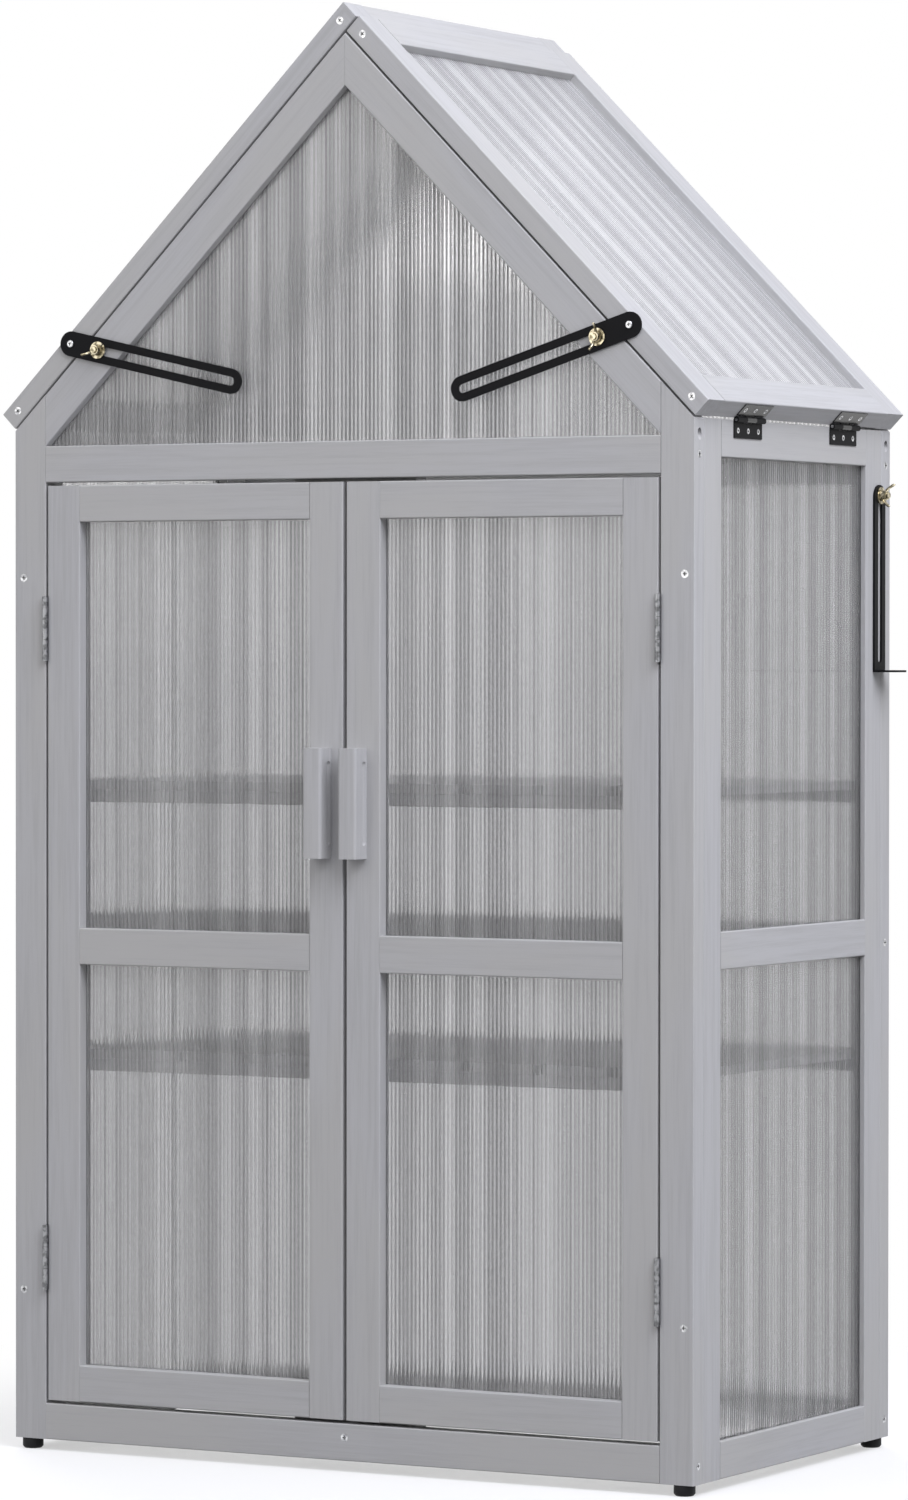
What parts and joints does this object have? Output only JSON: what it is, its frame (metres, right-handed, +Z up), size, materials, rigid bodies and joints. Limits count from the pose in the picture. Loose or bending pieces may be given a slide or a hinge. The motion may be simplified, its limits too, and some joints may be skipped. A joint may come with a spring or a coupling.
{
  "type": "mini greenhouse",
  "caption": "Tall timber greenhouse cabinet with fluted translucent panels, front doors, slatted shelves and a gabled roof that opens outwards on slotted stays.",
  "frame": {"origin": "on the ground under the middle of the object's box", "axes": "+Z up along the posts, -Y out of the front doors, +X to the right of someone facing the doors"},
  "size_m": [0.7896, 0.4416, 1.3837],
  "materials": {
    "timber": "grey-washed softwood, eased edges",
    "twin_wall": "fluted translucent polycarbonate",
    "black_steel": "black powder coat",
    "bright_zinc": "bright zinc plate",
    "yellow_zinc": "yellow zinc plate",
    "black_plastic": "black plastic"
  },
  "bodies": {
    "frame": {"back_gable_panel": "twin_wall", "back_panels": "twin_wall", "back_post_left": "timber", "back_post_right": "timber", "back_rafters": "timber", "back_rails": "timber", "clamp_bolts": "yellow_zinc", "door_hinge_post_leaves": "bright_zinc", "door_stops": "timber", "feet": "black_plastic", "frame_screws": "bright_zinc", "front_gable_panel": "twin_wall", "front_header": "timber", "front_post_left": "timber", "front_post_right": "timber", "front_rafters": "timber", "front_sill": "timber", "hinge_pins": "bright_zinc", "roof_hinge_wall_leaves": "black_steel", "shelf_bearers": "timber", "shelf_slats": "timber", "side_panels": "twin_wall", "side_rails": "timber", "side_stiles": "timber"},
    "left_door": {"left_door_stiles": "timber", "left_door_rails": "timber", "left_door_panels": "twin_wall", "left_door_handle": "timber", "left_door_hinge_leaves": "bright_zinc", "left_door_screws": "bright_zinc"},
    "left_roof": {"left_roof_rakes": "timber", "left_roof_cross_rails": "timber", "left_roof_panel": "twin_wall", "left_roof_hinge_leaves": "black_steel", "left_roof_screws": "bright_zinc"},
    "left_stay_swivel": {"left_stay_washer": "yellow_zinc"},
    "left_stay": {"left_stay_arm": "black_steel", "left_stay_pivot_screw": "bright_zinc"},
    "left_stay_nut": {"left_stay_wing_nut": "yellow_zinc"},
    "left_tie_swivel": {"left_tie_washer": "yellow_zinc"},
    "left_tie": {"left_tie_arm": "black_steel"},
    "left_tie_nut": {"left_tie_wing_nut": "yellow_zinc"},
    "right_door": {"right_door_stiles": "timber", "right_door_rails": "timber", "right_door_panels": "twin_wall", "right_door_handle": "timber", "right_door_hinge_leaves": "bright_zinc", "right_door_screws": "bright_zinc"},
    "right_roof": {"right_roof_rakes": "timber", "right_roof_cross_rails": "timber", "right_roof_panel": "twin_wall", "right_roof_hinge_leaves": "black_steel", "right_roof_screws": "bright_zinc"},
    "right_stay_swivel": {"right_stay_washer": "yellow_zinc"},
    "right_stay": {"right_stay_arm": "black_steel", "right_stay_pivot_screw": "bright_zinc"},
    "right_stay_nut": {"right_stay_wing_nut": "yellow_zinc"},
    "right_tie_swivel": {"right_tie_washer": "yellow_zinc"},
    "right_tie": {"right_tie_arm": "black_steel"},
    "right_tie_nut": {"right_tie_wing_nut": "yellow_zinc"}
  },
  "joints": [
    {"name": "left_door_hinge", "type": "hinge", "parent": "frame", "child": "left_door", "pos_m": [-0.3323, -0.2032, 0.4905], "axis": [0, 0, -1], "range_deg": [0, 170]},
    {"name": "right_door_hinge", "type": "hinge", "parent": "frame", "child": "right_door", "pos_m": [0.3323, -0.2032, 0.4905], "axis": [0, 0, 1], "range_deg": [0, 170]},
    {"name": "left_roof_hinge", "type": "hinge", "parent": "frame", "child": "left_roof", "pos_m": [-0.37145, 0.01025, 0.98778], "axis": [0, -1, 0], "range_deg": [0, 85]},
    {"name": "right_roof_hinge", "type": "hinge", "parent": "frame", "child": "right_roof", "pos_m": [0.37145, 0.01025, 0.98778], "axis": [0, 1, 0], "range_deg": [0, 85]},
    {"name": "left_stay_swing", "type": "hinge", "parent": "frame", "child": "left_stay_swivel", "pos_m": [-0.27212, -0.20025, 1.06275], "axis": [0, -1, 0], "range_deg": [0, 12.41]},
    {"name": "left_stay_slide", "type": "slide", "parent": "left_stay_swivel", "child": "left_stay", "axis": [-0.9762, 0, 0.2167], "range_m": [0, 0.14324]},
    {"name": "left_stay_nut_turn", "type": "hinge", "parent": "frame", "child": "left_stay_nut", "pos_m": [-0.27212, -0.20025, 1.06275], "axis": [0, -1, 0], "continuous": true},
    {"name": "right_stay_swing", "type": "hinge", "parent": "frame", "child": "right_stay_swivel", "pos_m": [0.26936, -0.20025, 1.06254], "axis": [0, 1, 0], "range_deg": [0, 17.08]},
    {"name": "right_stay_slide", "type": "slide", "parent": "right_stay_swivel", "child": "right_stay", "axis": [0.9538, 0, 0.3004], "range_m": [0, 0.14615]},
    {"name": "right_stay_nut_turn", "type": "hinge", "parent": "frame", "child": "right_stay_nut", "pos_m": [0.26936, -0.20025, 1.06254], "axis": [0, -1, 0], "continuous": true},
    {"name": "left_tie_swing", "type": "hinge", "parent": "frame", "child": "left_tie_swivel", "pos_m": [-0.3685, 0.19325, 0.9245], "axis": [1, 0, 0], "range_deg": [0, 90]},
    {"name": "left_tie_slide", "type": "slide", "parent": "left_tie_swivel", "child": "left_tie", "axis": [0, 0, 1], "range_m": [0, 0.05]},
    {"name": "left_tie_nut_turn", "type": "hinge", "parent": "frame", "child": "left_tie_nut", "pos_m": [-0.3685, 0.19325, 0.9245], "axis": [-1, 0, 0], "continuous": true},
    {"name": "right_tie_swing", "type": "hinge", "parent": "frame", "child": "right_tie_swivel", "pos_m": [0.3685, 0.19325, 0.9245], "axis": [1, 0, 0], "range_deg": [0, 90]},
    {"name": "right_tie_slide", "type": "slide", "parent": "right_tie_swivel", "child": "right_tie", "axis": [0, 0, 1], "range_m": [0, 0.05]},
    {"name": "right_tie_nut_turn", "type": "hinge", "parent": "frame", "child": "right_tie_nut", "pos_m": [0.3685, 0.19325, 0.9245], "axis": [1, 0, 0], "continuous": true}
  ],
  "couplings": [
    {"joint": "left_stay_swing", "follows": "left_roof_hinge", "ratio": 0.14598},
    {"joint": "left_stay_slide", "follows": "left_roof_hinge", "m_per_rad": 0.096549},
    {"joint": "right_stay_swing", "follows": "right_roof_hinge", "ratio": 0.20095},
    {"joint": "right_stay_slide", "follows": "right_roof_hinge", "m_per_rad": 0.098514}
  ]
}
